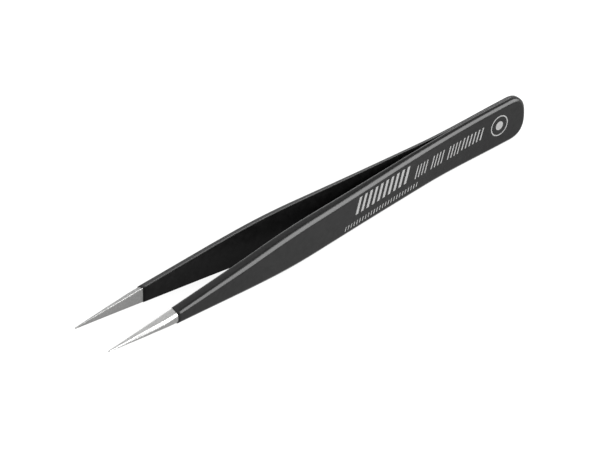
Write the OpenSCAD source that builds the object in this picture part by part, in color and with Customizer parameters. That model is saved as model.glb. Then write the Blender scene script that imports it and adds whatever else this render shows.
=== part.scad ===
// Fine-point precision tweezers: two sprung steel blades, spot-welded at the heel, under a thin coating.
// X runs along the length with the tips at -X, Y is the opening direction and Z is up, across the blades.
// The tweezers stand on the edges of their blades, and the origin is at the middle of the footprint.

/* [Length] */
// Overall length, from the heel to the tips
overall_length = 110; // [100:1:135]
// Length of bare steel at the tips
bare_tip_length = 16; // [8:1:30]
// Length of the rounded end of the heel
heel_round_length = 4.5; // [3:0.1:7]
// Squareness of that end: 2 is an oval, more is squarer
heel_squareness = 2.5; // [2:0.1:4]

/* [Blade width] */
// Widest part of the heel, over the coating
heel_width = 9.7; // [8:0.1:13]
// Distance from the heel to its widest part
heel_peak = 7; // [5:0.5:10]
// Width of the waist behind the grip, over the coating
waist_width = 9.2; // [7:0.1:13]
// Distance from the heel at which the waist starts
waist_start = 26; // [18:1:28]
// Distance from the heel at which the waist ends
waist_end = 30; // [29:1:36]
// Width of the grip, over the coating
grip_width = 9; // [7:0.1:13]
// Distance from the heel at which the grip starts
grip_start = 50; // [40:1:60]
// Width of each needle point
point_width = 0.24; // [0.1:0.02:0.6]
// Width gained along each millimetre from the point
point_taper = 0.188; // [0.15:0.001:0.26]
// Rounding of the corner between the grip and the taper
corner_blend = 0.65; // [0.2:0.05:1.5]

/* [Blade thickness] */
// Thickness of one blade at the heel, over the coating
heel_thickness = 1.2; // [0.8:0.05:2]
// Thickness of one blade at the grip, over the coating
grip_thickness = 1.9; // [1.2:0.05:3]
// Thickness of each needle point
point_thickness = 0.2; // [0.1:0.02:0.6]
// Thickness gained along each millimetre from the point
point_wedge = 0.11; // [0.08:0.005:0.2]
// Distance from the heel at which the blades start to thicken
thicken_start = 23; // [12:1:34]
// Distance from the heel at which the blades reach their full thickness
thicken_end = 69; // [45:1:80]

/* [Spring bow] */
// Gap left between the two blades where they are welded
weld_gap = 0.02; // [0.01:0.01:0.1]
// Distance from the heel at which the blades start to part
bow_start = 9; // [6:0.5:14]
// Distance over which each blade curves away
bow_length = 22; // [14:0.5:30]
// Outward slope of each blade after the bow
bow_slope = 0.0619; // [0.04:0.0005:0.08]
// Distance from the tip to the middle of the slight bend in front of the grip
front_bend = 34.5; // [28:0.5:42]
// Length of that bend
front_bend_length = 9; // [4:1:16]
// Outward slope of each blade in front of that bend
front_slope = 0.036; // [0.02:0.0005:0.045]
// Distance from the heel to the line about which each blade flexes
flex_line = 32; // [28:0.5:40]

/* [Edges] */
// Radius of the edge around each inner face
rim_radius = 0.2; // [0.1:0.02:0.3]
// Depth of the outer bevel at the heel, across the thickness
heel_bevel = 0.48; // [0.2:0.02:0.6]
// Depth of the outer bevel at the grip, across the thickness
grip_bevel = 0.56; // [0.3:0.02:0.9]
// Share of that depth lost along the taper
bevel_fade = 0.35; // [0:0.05:0.6]
// Length over which it is lost
bevel_fade_length = 40; // [20:1:60]
// Length in front of the coating over which the bevels grow until they meet
grind_length = 8.5; // [4:0.5:12]
// Share of the thickness that the bevels take where they have met
grind_depth = 0.2; // [0.1:0.02:0.6]
// Run of the bevel across the width, for each millimetre of its depth
bevel_run = 1.35; // [0.8:0.05:1.6]
// Height by which the bevel is rounded out
bevel_crown = 0.05; // [0:0.01:0.1]
// How far the sides of the heel lean in, on each side
heel_lean = 0.14; // [0:0.02:0.3]
// How far the sides of the grip lean in, on each side
side_lean = 0.44; // [0:0.02:0.6]
// Share of that lean ground away from the bare points
side_grind = 0.3; // [0:0.05:1]

/* [Coating] */
// Thickness of the coating
coat = 0.11; // [0.08:0.01:0.2]

/* [Welds] */
// Diameter of each weld nugget
weld_d = 2.6; // [1.5:0.1:4]
// Depth to which each nugget reaches into a blade
weld_depth = 0.35; // [0.1:0.05:0.5]
// Distance from the heel to the first nugget
weld_first = 4; // [3:0.5:5]
// Distance between the nuggets
weld_pitch = 4.6; // [3.5:0.1:6]

/* [Smoothness] */
// Stations along the rounded end of the heel
heel_steps = 9; // [6:1:14]
// Length between stations along the rest of the blades
station_pitch = 2.6; // [1.5:0.1:5]

/* [Hidden] */
steel_colour = [0.66, 0.66, 0.65];
coat_colour = [0.13, 0.13, 0.14];
weld_colour = [0.5, 0.5, 0.5];
centre_height = heel_width / 2;
coat_end = overall_length - bare_tip_length;
front_bend_start = overall_length - front_bend - front_bend_length / 2;
// Length cut from the very end of the heel, where its outline would shrink to a line
end_sliver = 0.02;
// Distance from the middle plane to each side of the seam in the coating round the heel
seam = 0.005;
weld_count = 2;
// Half of the width left flat where the bevels have met
ridge = 0.02;
// Edges get finer where a blade is slimmer than this
full_edge_half_width = 1.2;
full_edge_thickness = 0.9;
wedge_blend = 0.2;
// Share of a corner's radius left between the corner and the middle of its arc
corner_share = 1 - sqrt(0.5);

// 0 before 0, 1 after 1, and a smooth rise between
function rise(x) = let (c = max(0, min(1, x))) c * c * (3 - 2 * c);

// The integral of rise, so a line that starts to slope smoothly between two places
function bend(u, from, length) =
    let (x = (u - from) / length)
    x <= 0 ? 0 : x >= 1 ? length * (x - 0.5) : length * (pow(x, 3) - pow(x, 4) / 2);

// The smaller of two values, with the corner rounded
function soft_min(a, b, blend) =
    let (h = max(0, min(1, 0.5 + (b - a) / (2 * blend))))
    b + (a - b) * h - blend * h * (1 - h);

// Half of the width over the coating, without the rounded end
function body_half_width(u) =
    let (
        heel = (heel_width - waist_width) / 2 * (1 - rise((u - heel_peak) / (waist_start - heel_peak))),
        grip = (waist_width - grip_width) / 2 * rise((u - waist_end) / (grip_start - waist_end)),
        taper = (point_width + point_taper * (overall_length - u)) / 2 + coat
    )
    soft_min(waist_width / 2 + heel - grip, taper, corner_blend);

// The rounded end of the heel, as a share of the width there
function end_share(u, skin) =
    let (q = max(0, 1 - (u - skin) / heel_round_length))
    pow(1 - pow(q, heel_squareness), 1 / heel_squareness);

// Half of the width at one station, with skin as the depth under the coating's surface
function half_width(u, skin) = (body_half_width(u) - skin) * end_share(u, skin);

// Thickness at one station
function thickness(u, skin) =
    let (
        body = heel_thickness
            + (grip_thickness - heel_thickness) * rise((u - thicken_start) / (thicken_end - thicken_start)),
        wedge = point_thickness + point_wedge * (overall_length - u) + 2 * coat
    )
    soft_min(body, wedge, wedge_blend) - 2 * skin;

// Distance from the middle plane to the inner face
function inner_face(u, skin) =
    weld_gap / 2 - coat + skin
        + bow_slope * bend(u, bow_start, bow_length)
        - (bow_slope - front_slope) * bend(u, front_bend_start, front_bend_length);

// Depth of the outer bevel of full-sized edges
function bevel_depth(u) =
    (heel_bevel + (grip_bevel - heel_bevel) * rise(u / thicken_end))
        * (1 - bevel_fade * rise((u - thicken_end) / bevel_fade_length));

// Outline of one blade at one station, as [y, z] from the lower inner edge, round the outside, to the upper one
function blade_outline(u, skin) =
    let (
        w = half_width(u, skin),
        t = thickness(u, skin),
        fine = min(1, w / full_edge_half_width, t / full_edge_thickness),
        inner = max(seam, inner_face(u, skin)),
        outer = inner_face(u, skin) + t,
        rim = rim_radius * fine,
        ground = rise((u - coat_end) / grind_length),
        full_lean = heel_lean * rise(u / heel_round_length) + (side_lean - heel_lean) * rise(u / thicken_end),
        lean = full_lean * fine * (1 - side_grind * ground),
        plain_depth = bevel_depth(u) * fine,
        plain_run = plain_depth * bevel_run,
        depth = plain_depth + (t * grind_depth - plain_depth) * ground,
        run = plain_run + (w - lean - ridge - plain_run) * ground,
        crown = bevel_crown * fine * (1 - ground),
        upper = [
            [outer, w - lean - run],
            [outer - depth / 3 + crown, w - lean - run * 2 / 3 + crown],
            [outer - depth * 2 / 3 + crown, w - lean - run / 3 + crown],
            [outer - depth, w - lean],
            [inner + rim, w],
            [inner + rim * corner_share, w - rim * corner_share],
            [inner, w - rim],
        ]
    )
    concat(
        [for (i = [len(upper) - 1:-1:0]) [upper[i].x, -upper[i].y]],
        upper
    );

// Places one outline point in the part's frame, on the rear (side 1) or front (side -1) blade
function place(u, p, side) = [overall_length / 2 - u, side * p.x, centre_height + p.y];

// Evenly spaced values, with both ends
function steps_over(length, pitch) = max(1, ceil(length / pitch));
function spread(from, to, pitch) =
    let (steps = steps_over(to - from, pitch))
    [for (i = [0:steps]) from + (to - from) * i / steps];
function tail(list) = [for (i = [1:1:len(list) - 1]) list[i]];

// Stations from the heel to the flex line, with one at the fork, closer together round the heel's end
function root_stations(skin, fork) =
    concat(
        [
            for (i = [0:heel_steps])
            skin + end_sliver + (heel_round_length - end_sliver) * (1 - cos(90 * i / heel_steps))
        ],
        tail(spread(skin + heel_round_length, fork, station_pitch)),
        tail(spread(fork, flex_line, station_pitch))
    );
function fork_index(skin, fork) = heel_steps + steps_over(fork - skin - heel_round_length, station_pitch);
coated_stations = spread(flex_line, coat_end, station_pitch);
bare_stations = tail(spread(coat_end, overall_length, station_pitch / 2));

// The steel faces part at wedge_start, and the coating on them parts at slit_start
wedge_start = bow_start + 1;
slit_start = [for (u = [wedge_start + 1:0.5:flex_line - 1]) if (inner_face(u, 0) > 2 * seam) u][0];

// Triangles between ring i and ring i + 1 of a skin, over the given pairs of neighbouring points
function band(base, ring, i, pairs) =
    [
        for (p = pairs)
        let (a = base + i * ring, b = a + ring)
        each [[a + p[0], a + p[1], b + p[1]], [a + p[0], b + p[1], b + p[0]]]
    ];
function turned(faces) = [for (f = faces) [for (k = [len(f) - 1:-1:0]) f[k]]];
function loop_pairs(first, count) = [for (j = [0:count - 1]) [first + j, first + (j + 1) % count]];
function arc_pairs(first, count) = [for (j = [0:count - 2]) [first + j, first + j + 1]];
function joined(lists) = [for (l = lists) each l];

// One blade between stations, closed at both ends
module blade(stations) {
    outlines = [for (u = stations) blade_outline(u, coat)];
    ring = len(outlines[0]);
    last = len(stations) - 1;
    points = [for (i = [0:last]) each [for (p = outlines[i]) place(stations[i], p, 1)]];
    sides = joined([for (i = [0:last - 1]) band(0, ring, i, loop_pairs(0, ring))]);
    heel_cap = [[for (j = [ring - 1:-1:0]) j]];
    tip_cap = [[for (j = [0:ring - 1]) last * ring + j]];
    polyhedron(points, turned(concat(sides, heel_cap, tip_cap)), convexity = 6);
}

// A sleeve of coating on one blade, open at both ends
module sleeve(stations) {
    outer = [for (u = stations) blade_outline(u, 0)];
    inner = [for (u = stations) blade_outline(u, coat)];
    ring = len(outer[0]);
    last = len(stations) - 1;
    base = ring * (last + 1);
    points = concat(
        [for (i = [0:last]) each [for (p = outer[i]) place(stations[i], p, 1)]],
        [for (i = [0:last]) each [for (p = inner[i]) place(stations[i], p, 1)]]
    );
    loop = loop_pairs(0, ring);
    outside = joined([for (i = [0:last - 1]) band(0, ring, i, loop)]);
    inside = turned(joined([for (i = [0:last - 1]) band(base, ring, i, loop)]));
    heel_rim = [for (p = loop) [p[1], p[0], base + p[0], base + p[1]]];
    tip_rim = [for (p = loop) [last * ring + p[0], last * ring + p[1], base + last * ring + p[1], base + last * ring + p[0]]];
    polyhedron(points, turned(concat(outside, inside, heel_rim, tip_rim)), convexity = 8);
}

// Points of a skin round both blades: the rear outline, then the front one back to the start
function double_ring(u, skin) =
    let (outline = blade_outline(u, skin), last = len(outline) - 1)
    concat(
        [for (p = outline) place(u, p, 1)],
        [for (j = [last:-1:0]) place(u, outline[j], -1)]
    );

// Faces of a skin that is one loop up to a station and a loop round each blade from there on.
// The front half runs the other way round, so its faces are turned and mirror those of the rear half.
function forked_skin(base, half, last, fork) =
    let (ring = 2 * half, at_fork = base + fork * ring)
    concat(
        joined([for (i = [0:last - 1]) band(base, ring, i, arc_pairs(0, half))]),
        turned(joined([for (i = [0:last - 1]) band(base, ring, i, [for (p = arc_pairs(half, half)) [p[1], p[0]]])])),
        joined([for (i = [0:1:fork - 1]) band(base, ring, i, [[half - 1, half], [ring - 1, 0]])]),
        joined([for (i = [fork:last - 1]) band(base, ring, i, [[half - 1, 0]])]),
        turned(joined([for (i = [fork:last - 1]) band(base, ring, i, [[half, ring - 1]])])),
        [[at_fork, at_fork + half - 1, at_fork + half, at_fork + ring - 1]],
        [[for (j = [ring - 1:-1:0]) base + j]]
    );

// The coating round the welded heel, which forks into a sleeve on each blade
module forked_sleeve() {
    outer_stations = root_stations(0, slit_start);
    inner_stations = root_stations(coat, wedge_start);
    half = len(blade_outline(slit_start, 0));
    ring = 2 * half;
    outer_last = len(outer_stations) - 1;
    inner_last = len(inner_stations) - 1;
    base = ring * (outer_last + 1);
    outer_fork = fork_index(0, slit_start);
    inner_fork = fork_index(coat, wedge_start);
    points = concat(
        [for (u = outer_stations) each double_ring(u, 0)],
        [for (u = inner_stations) each double_ring(u, coat)]
    );
    outside = forked_skin(0, half, outer_last, outer_fork);
    inside = turned(forked_skin(base, half, inner_last, inner_fork));
    a = outer_last * ring;
    b = base + inner_last * ring;
    rims = [
        for (first = [0, half], p = loop_pairs(first, half))
        let (from = p[0], to = first == 0 ? p[1] : half + (p[0] - half + 1) % half)
        [a + from, a + to, b + to, b + from]
    ];
    polyhedron(points, turned(concat(outside, inside, rims)), convexity = 10);
}

module at_each_weld() {
    for (i = [0:weld_count - 1])
        translate([overall_length / 2 - weld_first - i * weld_pitch, 0, centre_height])
            rotate([90, 0, 0])
                children();
}

module weld_nuggets() {
    color(weld_colour) at_each_weld() cylinder(d = weld_d, h = 2 * weld_depth, center = true, $fn = 48);
}

// The welded end of a blade, with a pocket that each nugget fills
module blade_root() {
    difference() {
        blade(root_stations(coat, wedge_start));
        at_each_weld() cylinder(d = weld_d, h = 2 * weld_depth, center = true, $fn = 48);
    }
}

module front_blade_root() { color(steel_colour) mirror([0, 1, 0]) blade_root(); }
module rear_blade_root() { color(steel_colour) blade_root(); }
module front_blade_arm() { color(steel_colour) mirror([0, 1, 0]) blade(concat(coated_stations, bare_stations)); }
module rear_blade_arm() { color(steel_colour) blade(concat(coated_stations, bare_stations)); }
module heel_coating() { color(coat_colour) forked_sleeve(); }
module front_arm_coating() { color(coat_colour) mirror([0, 1, 0]) sleeve(coated_stations); }
module rear_arm_coating() { color(coat_colour) sleeve(coated_stations); }

front_blade_root();
rear_blade_root();
front_blade_arm();
rear_blade_arm();
heel_coating();
front_arm_coating();
rear_arm_coating();
weld_nuggets();
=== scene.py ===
import math
import bmesh
import bpy
from mathutils import Matrix, Vector


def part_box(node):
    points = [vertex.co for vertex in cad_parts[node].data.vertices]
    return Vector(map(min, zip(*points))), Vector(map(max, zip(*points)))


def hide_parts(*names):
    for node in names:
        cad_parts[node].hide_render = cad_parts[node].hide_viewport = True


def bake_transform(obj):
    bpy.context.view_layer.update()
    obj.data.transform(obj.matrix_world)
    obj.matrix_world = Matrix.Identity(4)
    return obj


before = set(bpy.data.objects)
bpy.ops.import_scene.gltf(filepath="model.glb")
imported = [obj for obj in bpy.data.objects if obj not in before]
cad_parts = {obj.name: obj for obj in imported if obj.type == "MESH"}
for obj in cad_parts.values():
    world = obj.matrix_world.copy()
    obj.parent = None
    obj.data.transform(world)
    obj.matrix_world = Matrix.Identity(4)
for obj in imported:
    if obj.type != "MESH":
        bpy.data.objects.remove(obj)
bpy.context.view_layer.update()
MM = 0.001

# ---------------------------------------------------------------- sizes, in millimetres
# u is the distance from the heel, as in the CAD model, and these values repeat its sizes.
LENGTH = 110.0
BARE_TIP = 16.0
HEEL_ROUND, HEEL_SQUARENESS = 4.5, 2.5
HEEL_WIDTH, HEEL_PEAK = 9.7, 7.0
WAIST_WIDTH, WAIST_START, WAIST_END = 9.2, 26.0, 30.0
GRIP_WIDTH, GRIP_START = 9.0, 50.0
POINT_WIDTH, POINT_TAPER, CORNER_BLEND = 0.24, 0.188, 0.65
HEEL_THICKNESS, GRIP_THICKNESS = 1.2, 1.9
POINT_THICKNESS, POINT_WEDGE, WEDGE_BLEND = 0.2, 0.11, 0.2
THICKEN_START, THICKEN_END = 23.0, 69.0
WELD_GAP, SEAM = 0.02, 0.005
BOW_START, BOW_LENGTH, BOW_SLOPE = 9.0, 22.0, 0.0619
FRONT_BEND, FRONT_BEND_LENGTH, FRONT_SLOPE = 34.5, 9.0, 0.036
RIM_RADIUS = 0.2
# The groove between the two coats closes to this share at the heel, and opens over this length
SEAM_CLOSED, SEAM_LENGTH = 0.35, 9.0
HEEL_BEVEL, GRIP_BEVEL, BEVEL_RUN, BEVEL_CROWN = 0.48, 0.56, 1.35, 0.05
BEVEL_FADE, BEVEL_FADE_LENGTH = 0.35, 40.0
GRIND_LENGTH, GRIND_DEPTH, RIDGE = 8.5, 0.2, 0.02
HEEL_LEAN, SIDE_LEAN, SIDE_GRIND = 0.14, 0.44, 0.3
COAT = 0.11
FULL_EDGE_HALF_WIDTH, FULL_EDGE_THICKNESS = 1.2, 0.9
COAT_END = LENGTH - BARE_TIP
MIDDLE_HEIGHT = (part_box("heel_coating")[0][2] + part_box("heel_coating")[1][2]) / 2 / MM
# The steel lies this far inside the coating's inner skin, so that the two never share a surface
CLEAR = 0.002

# ---------------------------------------------------------------- edges and mesh steps, in millimetres
# Corners of a section, from the outer face to the inner face: how far each is cut back before it is rounded
FACE_MARGIN, FACE_CUT, FACE_TURN = 0.55, 0.45, 0.1
CROWN_CUT = 0.3
SIDE_CUT, SIDE_TURN = 0.5, 0.3
RIM_ALONG_SIDE = 2.4
INNER_MARGIN = 0.15
# A cut takes at most this share of the side that it shortens
MOST_OF_A_SIDE = 0.48
# How crisp the ground steel's corners are: 0 is as soft as the coating, 1 is sharp
STEEL_CRISPNESS = 0.6
HEEL_TURNS = 48
COATING_STEP, HIDDEN_STEEL_STEP, BARE_STEEL_STEP = 0.7, 1.0, 0.2
# The steel's fine steps start this far inside the coating, and end this far before the point
FINE_STEPS_INSIDE, POINT_BLUNTED = 1, 0.06
COATING_LIP = 0.03
MERGED, SLIVER = 0.0004, 0.0002
# Faces that look this squarely at the other blade take a less glossy copy of the coating: painted shade
# between the blades
INWARD = -0.9


# ---------------------------------------------------------------- shape of a blade
def rise(x):
    """0 before 0, 1 after 1, and a smooth rise between."""
    x = min(1.0, max(0.0, x))
    return x * x * (3 - 2 * x)


def bend(u, start, length):
    """The height of a line that starts to slope smoothly between two places."""
    x = (u - start) / length
    if x <= 0:
        return 0.0
    return length * (x - 0.5) if x >= 1 else length * (x**3 - x**4 / 2)


def soft_min(a, b, blend):
    """The smaller of two values, with the corner rounded."""
    h = min(1.0, max(0.0, 0.5 + (b - a) / (2 * blend)))
    return b + (a - b) * h - blend * h * (1 - h)


def body_half_width(u):
    heel = (HEEL_WIDTH - WAIST_WIDTH) / 2 * (1 - rise((u - HEEL_PEAK) / (WAIST_START - HEEL_PEAK)))
    grip = (WAIST_WIDTH - GRIP_WIDTH) / 2 * rise((u - WAIST_END) / (GRIP_START - WAIST_END))
    taper = (POINT_WIDTH + POINT_TAPER * (LENGTH - u)) / 2 + COAT
    return soft_min(WAIST_WIDTH / 2 + heel - grip, taper, CORNER_BLEND)


def thickness(u):
    body = HEEL_THICKNESS + (GRIP_THICKNESS - HEEL_THICKNESS) * rise(
        (u - THICKEN_START) / (THICKEN_END - THICKEN_START)
    )
    wedge = POINT_THICKNESS + POINT_WEDGE * (LENGTH - u) + 2 * COAT
    return soft_min(body, wedge, WEDGE_BLEND)


def inner_face(u):
    front_start = LENGTH - FRONT_BEND - FRONT_BEND_LENGTH / 2
    return (
        WELD_GAP / 2
        - COAT
        + BOW_SLOPE * bend(u, BOW_START, BOW_LENGTH)
        - (BOW_SLOPE - FRONT_SLOPE) * bend(u, front_start, FRONT_BEND_LENGTH)
    )


def bevel_depth(u):
    full = HEEL_BEVEL + (GRIP_BEVEL - HEEL_BEVEL) * rise(u / THICKEN_END)
    return full * (1 - BEVEL_FADE * rise((u - THICKEN_END) / BEVEL_FADE_LENGTH))


def edge_points(lengthwise):
    """Points (u, half width) of a blade's upper edge: round the heel, then on to each length."""
    power = 2 / HEEL_SQUARENESS
    points = []
    for i in range(HEEL_TURNS + 1):
        angle = math.pi / 2 * i / HEEL_TURNS
        u = HEEL_ROUND * (1 - math.cos(angle) ** power)
        points.append((u, body_half_width(u) * math.sin(angle) ** power))
    points += [(u, body_half_width(u)) for u in lengthwise]
    return points


def edge_normals(points):
    """Outward directions (along u, along the width) of the edge at each point."""
    normals = [(-1.0, 0.0)]
    for i in range(1, len(points)):
        before, after = points[i - 1], points[min(i + 1, len(points) - 1)]
        du, dw = after[0] - before[0], after[1] - before[1]
        size = math.hypot(du, dw)
        normals.append((-dw / size, du / size))
    return normals


def rounded(corners, steps=5):
    """A line through corners (x, y, cut before, cut after), each cut back that far and rounded."""
    line = [corners[0][:2]]
    for before, here, after in zip(corners, corners[1:], corners[2:]):
        p, q, r = Vector(before[:2]), Vector(here[:2]), Vector(after[:2])
        cut_in = min(here[2], MOST_OF_A_SIDE * (q - p).length)
        cut_out = min(here[3], MOST_OF_A_SIDE * (r - q).length)
        start = q + (p - q).normalized() * cut_in
        end = q + (r - q).normalized() * cut_out
        for k in range(steps + 1):
            t = k / steps
            line.append(tuple(start * (1 - t) ** 2 + q * (2 * t * (1 - t)) + end * t**2))
    line.append(corners[-1][:2])
    return line


def profile(u, half, skin, crisp):
    """Half an outline of a blade at u, as (inset from the edge, distance from the middle plane).

    It runs from the outer face round the bevel and the side to the inner face. skin is how far it lies
    inside the coating's outside.
    """
    slim = min(1.0, body_half_width(u) / FULL_EDGE_HALF_WIDTH, thickness(u) / FULL_EDGE_THICKNESS)
    base = inner_face(u)
    inner = max(SEAM, base + skin)
    outer = base + thickness(u) - skin
    thick = outer - inner
    ground = rise((u - COAT_END) / GRIND_LENGTH)
    lean = HEEL_LEAN * rise(u / HEEL_ROUND) + (SIDE_LEAN - HEEL_LEAN) * rise(u / THICKEN_END)
    lean *= slim * (1 - SIDE_GRIND * ground)
    depth = bevel_depth(u) * slim
    run = depth * BEVEL_RUN
    depth += (thick * GRIND_DEPTH - depth) * ground
    run += (half - skin - lean - RIDGE - run) * ground
    crown = BEVEL_CROWN * slim * (1 - ground)
    rim = RIM_RADIUS * slim * (SEAM_CLOSED + (1 - SEAM_CLOSED) * rise(u / SEAM_LENGTH))
    soft = slim * (1 - crisp)
    crown_cut = CROWN_CUT * slim
    return rounded(
        [
            (skin + lean + run + FACE_MARGIN * soft, outer, 0, 0),
            (skin + lean + run, outer, FACE_CUT * soft, FACE_TURN * slim),
            (skin + lean + run / 2 - crown, outer - depth / 2 + crown, crown_cut, crown_cut),
            (skin + lean, outer - depth, SIDE_CUT * soft, SIDE_TURN * slim * (1 - crisp / 2)),
            (skin, inner, RIM_ALONG_SIDE * rim * (1 - crisp), rim * (1 - crisp)),
            (skin + rim + INNER_MARGIN * slim, inner, 0, 0),
        ]
    )


def place(u, across, up, side):
    """A point in the row frame, in metres."""
    return (
        (LENGTH / 2 - u) * MM,
        side * across * MM,
        (MIDDLE_HEIGHT + up) * MM,
    )


def ring(point, normal, skin, side, crisp=0.0):
    """One ring of points round a blade, from the lower half of the outer face to the upper half."""
    (u, half), (along, wide) = point, normal
    upper = []
    section = profile(u, half, skin, crisp)
    for inset, across in section:
        shift = inner_face(u - inset * along) - inner_face(u)
        upper.append((u - inset * along, across + shift, max(0.0, half - inset * wide)))
    past_ridge = sum(half - inset * wide < MERGED / 2 for inset, _ in section) if along > 0 else 0
    if past_ridge:
        # On a bare point the narrow outer face ends in a ridge, where the points past the middle meet
        upper[: past_ridge - 1] = [upper[past_ridge - 1]] * (past_ridge - 1)
    lower = [(a, b, -c) for a, b, c in reversed(upper)]
    return [place(a, b, c, side) for a, b, c in upper + lower]


def tube(name, rings, flip):
    """A closed mesh over rings that all have the same number of points."""
    count = len(rings[0])
    vertices = [p for r in rings for p in r]
    faces = []
    for i in range(len(rings) - 1):
        for j in range(count):
            a, b = i * count + j, i * count + (j + 1) % count
            faces.append((a, b, b + count, a + count))
    last = (len(rings) - 1) * count
    faces.append(tuple(last + j for j in range(count)))
    if flip:
        faces = [tuple(reversed(f)) for f in faces]
    mesh = bpy.data.meshes.new(name)
    mesh.from_pydata(vertices, [], faces)
    mesh.validate()
    obj = bpy.data.objects.new(name, mesh)
    bpy.context.scene.collection.objects.link(obj)
    return obj


def clean(obj):
    """Joins points that meet, drops what has shrunk to nothing and shades the mesh smooth."""
    bm = bmesh.new()
    bm.from_mesh(obj.data)
    bmesh.ops.remove_doubles(bm, verts=bm.verts, dist=MERGED * MM)
    bmesh.ops.dissolve_degenerate(bm, dist=SLIVER * MM, edges=bm.edges)
    bmesh.ops.recalc_face_normals(bm, faces=bm.faces)
    for face in bm.faces:
        face.smooth = True
    bm.to_mesh(obj.data)
    bm.free()
    return obj


def lengths(start, end, step):
    """Even steps of at most this size, from just after the start to the end."""
    count = max(1, math.ceil((end - start) / step))
    return [start + (end - start) * i / count for i in range(1, count + 1)]


def coated_rings(skin, side):
    """Rings from the heel's end to where the coating stops."""
    points = edge_points(lengths(HEEL_ROUND, COAT_END, COATING_STEP))
    normals = edge_normals(points)
    return [ring(p, n, skin, side) for p, n in zip(points, normals)]


def make_coating(name, side):
    """A skin over one blade: its outside, a small lip at its end, and back along its inside."""
    outside = coated_rings(0.0, side)
    inside = coated_rings(COAT, side)
    end = edge_points([COAT_END - COATING_LIP, COAT_END])
    end_normal = edge_normals(end)[-1]
    lip = [
        ring(end[-2], end_normal, 0.0, side),
        ring(end[-1], end_normal, COATING_LIP, side),
    ]
    rings = outside[:-1] + lip + list(reversed(inside))
    return clean(tube(name, rings, side < 0))


def make_blade(name, side):
    """The steel from the heel to the point, with finer steps where it is bare."""
    skin = COAT + CLEAR
    fine_start = COAT_END - FINE_STEPS_INSIDE
    hidden = lengths(HEEL_ROUND, fine_start, HIDDEN_STEEL_STEP)
    bare = lengths(fine_start, LENGTH - POINT_BLUNTED, BARE_STEEL_STEP)
    points = edge_points(hidden + bare)
    normals = edge_normals(points)
    rings = [ring(p, n, skin, side, crisp=STEEL_CRISPNESS) for p, n in zip(points, normals)]
    return clean(tube(name, rings, side < 0))


# ---------------------------------------------------------------- marks printed on the front blade
# The print stands this far above the coating, and reaches this far into it
INK, INK_SUNK = 0.015, 0.01
STROKE_LEAN = 0.35
RING_AT, RING_HEIGHT = 7.2, 0.4
RING_INSIDE, RING_OUTSIDE = 2.0, 2.25
DOT_INSIDE, DOT_OUTSIDE = 0.02, 0.95
GROUPS, GROUPS_START, GROUPS_PITCH = 3, 18.4, 4.5


def print_strip(bm, rows, closed=False):
    """A thin raised patch of print over rows of two points (u, height above the middle)."""

    def vertex(point, lift):
        u, up = point
        return bm.verts.new(place(u, inner_face(u) + thickness(u) + lift, up, -1))

    corners = [
        [vertex(p, lift) for p, lift in ((a, INK), (b, INK), (b, -INK_SUNK), (a, -INK_SUNK))]
        for a, b in rows
    ]
    for i in range(len(rows) if closed else len(rows) - 1):
        here, ahead = corners[i], corners[(i + 1) % len(rows)]
        for k in range(4):
            bm.faces.new((here[k], here[(k + 1) % 4], ahead[(k + 1) % 4], ahead[k]))
    if not closed:
        bm.faces.new(corners[0])
        bm.faces.new(reversed(corners[-1]))


def print_slashes(bm, u, count, width, pitch, low, high):
    """Strokes in a row, which lean towards the heel."""
    lean = STROKE_LEAN * (high - low)
    for i in range(count):
        start = u + i * pitch
        print_strip(bm, [((start + du, low), (start + du - lean, high)) for du in (0.0, width)])


def print_ring(bm, u, up, inside, outside, turns=56):
    """A flat ring between two radii."""
    angles = [2 * math.pi * i / turns for i in range(turns)]
    rows = [
        tuple((u + r * math.cos(a), up + r * math.sin(a)) for r in (inside, outside))
        for a in angles
    ]
    print_strip(bm, rows, closed=True)


def make_marks(name):
    """Plain shapes only: a ring with a dot, and rows of slanted strokes."""
    bm = bmesh.new()
    print_ring(bm, RING_AT, RING_HEIGHT, RING_INSIDE, RING_OUTSIDE)
    print_ring(bm, RING_AT, RING_HEIGHT, DOT_INSIDE, DOT_OUTSIDE)
    print_slashes(bm, 12.2, count=6, width=0.35, pitch=1.0, low=-0.6, high=1.9)
    for group in range(GROUPS):
        start = GROUPS_START + GROUPS_PITCH * group
        print_slashes(bm, start, count=4, width=0.3, pitch=0.9, low=-0.9, high=1.8)
    print_slashes(bm, 32.8, count=10, width=0.7, pitch=1.5, low=-0.6, high=2.9)
    print_slashes(bm, 29.8, count=26, width=0.22, pitch=0.8, low=-2.9, high=-2.0)
    mesh = bpy.data.meshes.new(name)
    bm.to_mesh(mesh)
    bm.free()
    obj = bpy.data.objects.new(name, mesh)
    bpy.context.scene.collection.objects.link(obj)
    return obj


# ---------------------------------------------------------------- materials
# In metres, like everything that a shader measures
FINE_BUMP = 0.000004


def new_material(name):
    material = bpy.data.materials.new(name)
    material.use_nodes = True
    tree = material.node_tree
    tree.nodes.clear()
    shader = tree.nodes.new("ShaderNodeBsdfPrincipled")
    output = tree.nodes.new("ShaderNodeOutputMaterial")
    tree.links.new(shader.outputs["BSDF"], output.inputs["Surface"])
    return material, tree, shader


def noise(tree, scale, stretch=(1, 1, 1), detail=4.0):
    """Noise in the object's own space, with scale in features per metre, stretched where it is small."""
    coordinates = tree.nodes.new("ShaderNodeTexCoord")
    mapping = tree.nodes.new("ShaderNodeMapping")
    mapping.inputs["Scale"].default_value = stretch
    texture = tree.nodes.new("ShaderNodeTexNoise")
    texture.inputs["Scale"].default_value = scale
    texture.inputs["Detail"].default_value = detail
    tree.links.new(coordinates.outputs["Object"], mapping.inputs["Vector"])
    tree.links.new(mapping.outputs["Vector"], texture.inputs["Vector"])
    return texture.outputs["Fac"]


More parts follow.
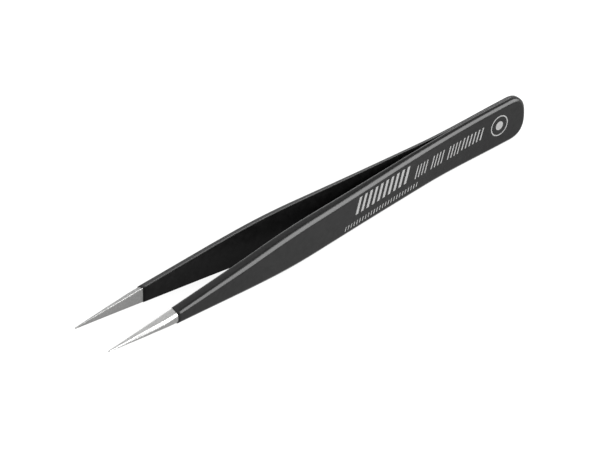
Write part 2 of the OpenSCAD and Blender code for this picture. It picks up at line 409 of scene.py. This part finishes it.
def spread(tree, value, low, high):
    """Maps a 0 to 1 value onto a range."""
    node = tree.nodes.new("ShaderNodeMapRange")
    node.inputs["To Min"].default_value = low
    node.inputs["To Max"].default_value = high
    tree.links.new(value, node.inputs["Value"])
    return node.outputs["Result"]


def two_colours(tree, value, first, second):
    """Fades from one colour to the other as the value rises."""
    node = tree.nodes.new("ShaderNodeValToRGB")
    node.color_ramp.elements[0].color = (*first, 1)
    node.color_ramp.elements[0].position = 0.35
    node.color_ramp.elements[1].color = (*second, 1)
    node.color_ramp.elements[1].position = 0.65
    tree.links.new(value, node.inputs["Fac"])
    return node.outputs["Color"]


def fine_bump(tree, shader, height):
    """A texture too fine to be geometry: the height of the coating's grain or of the grinding marks."""
    node = tree.nodes.new("ShaderNodeBump")
    node.inputs["Distance"].default_value = FINE_BUMP
    node.inputs["Strength"].default_value = 1.0
    tree.links.new(height, node.inputs["Height"])
    tree.links.new(node.outputs["Normal"], shader.inputs["Normal"])


def coating_material(name, gloss):
    material, tree, shader = new_material(name)
    shader.inputs["Specular IOR Level"].default_value = gloss
    tree.links.new(
        two_colours(tree, noise(tree, 900), (0.0015, 0.0015, 0.0015), (0.003, 0.003, 0.003)),
        shader.inputs["Base Color"],
    )
    tree.links.new(spread(tree, noise(tree, 2500), 0.28, 0.31), shader.inputs["Roughness"])
    fine_bump(tree, shader, noise(tree, 4000, detail=2))
    return material


def steel_material():
    material, tree, shader = new_material("ground_stainless_steel")
    shader.inputs["Metallic"].default_value = 1.0
    grain = noise(tree, 9000, stretch=(1, 0.12, 0.12))
    tree.links.new(
        two_colours(tree, noise(tree, 2500), (0.2, 0.2, 0.198), (0.235, 0.235, 0.232)),
        shader.inputs["Base Color"],
    )
    tree.links.new(spread(tree, grain, 0.35, 0.43), shader.inputs["Roughness"])
    fine_bump(tree, shader, grain)
    return material


def weld_material():
    material, tree, shader = new_material("fused_weld_metal")
    shader.inputs["Metallic"].default_value = 1.0
    tree.links.new(
        two_colours(tree, noise(tree, 3000), (0.3, 0.29, 0.28), (0.46, 0.45, 0.44)),
        shader.inputs["Base Color"],
    )
    tree.links.new(spread(tree, noise(tree, 6000), 0.4, 0.65), shader.inputs["Roughness"])
    return material


def ink_material():
    material, tree, shader = new_material("grey_print_ink")
    shader.inputs["Specular IOR Level"].default_value = 0.2
    tree.links.new(
        two_colours(tree, noise(tree, 5000), (0.11, 0.11, 0.109), (0.14, 0.14, 0.139)),
        shader.inputs["Base Color"],
    )
    tree.links.new(spread(tree, noise(tree, 6000), 0.5, 0.7), shader.inputs["Roughness"])
    return material


def floor_material():
    material, tree, shader = new_material("pale_floor")
    tree.links.new(
        two_colours(tree, noise(tree, 3), (0.11, 0.11, 0.11), (0.13, 0.13, 0.13)),
        shader.inputs["Base Color"],
    )
    shader.inputs["Emission Color"].default_value = (1, 1, 1, 1)
    shader.inputs["Emission Strength"].default_value = 0.8
    shader.inputs["Roughness"].default_value = 0.9
    shader.inputs["Specular IOR Level"].default_value = 0.0
    return material


def cover(obj, *materials):
    obj.data.materials.clear()
    for material in materials:
        obj.data.materials.append(material)


def paint_shade_between_blades(obj, side):
    """Gives the second material, a less glossy copy of the coating that paints the shade between the
    blades, to the faces that look towards the other blade.
    """
    for face in obj.data.polygons:
        if face.normal.y * side < INWARD:
            face.material_index = 1


# ---------------------------------------------------------------- the tweezers
coating = coating_material("dark_epoxy_coating", 0.16)
# A less glossy copy of the same coating for the faces between the blades: painted shade there, not a
# different finish
painted_shade_coating = coating_material("coating_with_painted_shade", 0.05)
steel = steel_material()


def flexes(obj):
    """Bakes the piece's placement into its points."""
    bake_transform(obj)


for arm, side in (("front", -1), ("rear", 1)):
    blade = make_blade(f"{arm}_blade", side)
    cover(blade, steel)
    flexes(blade)
    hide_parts(f"{arm}_blade_root", f"{arm}_blade_arm")
    skin_piece = make_coating(f"{arm}_coating", side)
    cover(skin_piece, coating, painted_shade_coating)
    paint_shade_between_blades(skin_piece, side)
    flexes(skin_piece)
    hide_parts("heel_coating", f"{arm}_arm_coating")
cover(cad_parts["weld_nuggets"], weld_material())

marks = make_marks("printed_marks")
cover(marks, ink_material())
flexes(marks)

# ---------------------------------------------------------------- floor, camera and light
# In metres, as are the camera's and the lights' distances
FLOOR_HALF = 3.0
mesh = bpy.data.meshes.new("floor")
floor_corners = [(x * FLOOR_HALF, y * FLOOR_HALF, 0) for x, y in ((-1, -1), (1, -1), (1, 1), (-1, 1))]
mesh.from_pydata(floor_corners, [], [(0, 1, 2, 3)])
floor = bpy.data.objects.new("floor", mesh)
bpy.context.scene.collection.objects.link(floor)
cover(floor, floor_material())

VIEW_AZIMUTH, VIEW_ELEVATION, VIEW_ROLL = -42.11, 36.02, -0.02
VIEW_DISTANCE = 1.003
VIEW_RIGHT, VIEW_UP = 0.0025, 0.00057
FOCAL_LENGTH = 317.8


def direction(azimuth, elevation):
    """The direction in which a viewer stands, where azimuth 0 looks along +Y."""
    a, e = math.radians(azimuth), math.radians(elevation)
    return Vector((math.sin(a) * math.cos(e), -math.cos(a) * math.cos(e), math.sin(e)))


middle = Vector((0, 0, MIDDLE_HEIGHT * MM))
back = direction(VIEW_AZIMUTH, VIEW_ELEVATION)
right = Vector((0, 0, 1)).cross(back).normalized()
up = back.cross(right)
roll = math.radians(VIEW_ROLL)
right, up = right * math.cos(roll) + up * math.sin(roll), up * math.cos(roll) - right * math.sin(roll)
camera = bpy.data.objects.new("camera", bpy.data.cameras.new("camera"))
camera.data.lens = FOCAL_LENGTH
camera.data.sensor_width = 36.0
camera.data.clip_start = 0.01
camera.matrix_world = Matrix.Translation(
    middle - right * VIEW_RIGHT - up * VIEW_UP + back * VIEW_DISTANCE
) @ Matrix((right, up, back)).transposed().to_4x4()
bpy.context.scene.collection.objects.link(camera)
bpy.context.scene.camera = camera


def softbox(name, azimuth, elevation, distance, width, height, watts):
    """A soft rectangular light that faces the object."""
    light = bpy.data.lights.new(name, "AREA")
    light.shape = "RECTANGLE"
    light.size = width
    light.size_y = height
    light.energy = watts
    obj = bpy.data.objects.new(name, light)
    toward = direction(azimuth, elevation)
    obj.location = middle + toward * distance
    obj.rotation_euler = toward.to_track_quat("Z", "Y").to_euler()
    bpy.context.scene.collection.objects.link(obj)


softbox("key_light", azimuth=44, elevation=23, distance=1.0, width=0.95, height=0.8, watts=46)
softbox("back_light", azimuth=139, elevation=36, distance=1.0, width=0.5, height=0.4, watts=5.4)


WALLS_LEVEL, CEILING_LEVEL = 0.4, 2.5
# The dark patch: degrees from its middle to its outer edge and to where it is darkest, and how dark that is
PATCH_EDGE, PATCH_CORE, PATCH_LEVEL = 26, 10, 0.1


def studio_walls(azimuth, elevation):
    """Pale walls and a bright ceiling, with one darker patch above the key light.

    The patch is what the edges between the sides and the bevels reflect.
    """
    world = bpy.data.worlds.new("studio")
    world.use_nodes = True
    tree = world.node_tree
    coordinates = tree.nodes.new("ShaderNodeTexCoord")
    split = tree.nodes.new("ShaderNodeSeparateXYZ")
    tree.links.new(coordinates.outputs["Generated"], split.inputs["Vector"])
    walls = spread(tree, split.outputs["Z"], WALLS_LEVEL, CEILING_LEVEL)
    nearness = tree.nodes.new("ShaderNodeVectorMath")
    nearness.operation = "DOT_PRODUCT"
    nearness.inputs[1].default_value = direction(azimuth, elevation)
    tree.links.new(coordinates.outputs["Generated"], nearness.inputs[0])
    patch = tree.nodes.new("ShaderNodeMapRange")
    patch.interpolation_type = "SMOOTHSTEP"
    patch.inputs["From Min"].default_value = math.cos(math.radians(PATCH_EDGE))
    patch.inputs["From Max"].default_value = math.cos(math.radians(PATCH_CORE))
    patch.inputs["To Min"].default_value = 1.0
    patch.inputs["To Max"].default_value = PATCH_LEVEL
    tree.links.new(nearness.outputs["Value"], patch.inputs["Value"])
    level = tree.nodes.new("ShaderNodeMath")
    level.operation = "MULTIPLY"
    tree.links.new(walls, level.inputs[0])
    tree.links.new(patch.outputs["Result"], level.inputs[1])
    tree.links.new(level.outputs["Value"], tree.nodes["Background"].inputs["Strength"])
    tree.nodes["Background"].inputs["Color"].default_value = (1, 1, 1, 1)
    bpy.context.scene.world = world


studio_walls(azimuth=73, elevation=53)
bpy.context.scene.view_settings.view_transform = "Standard"
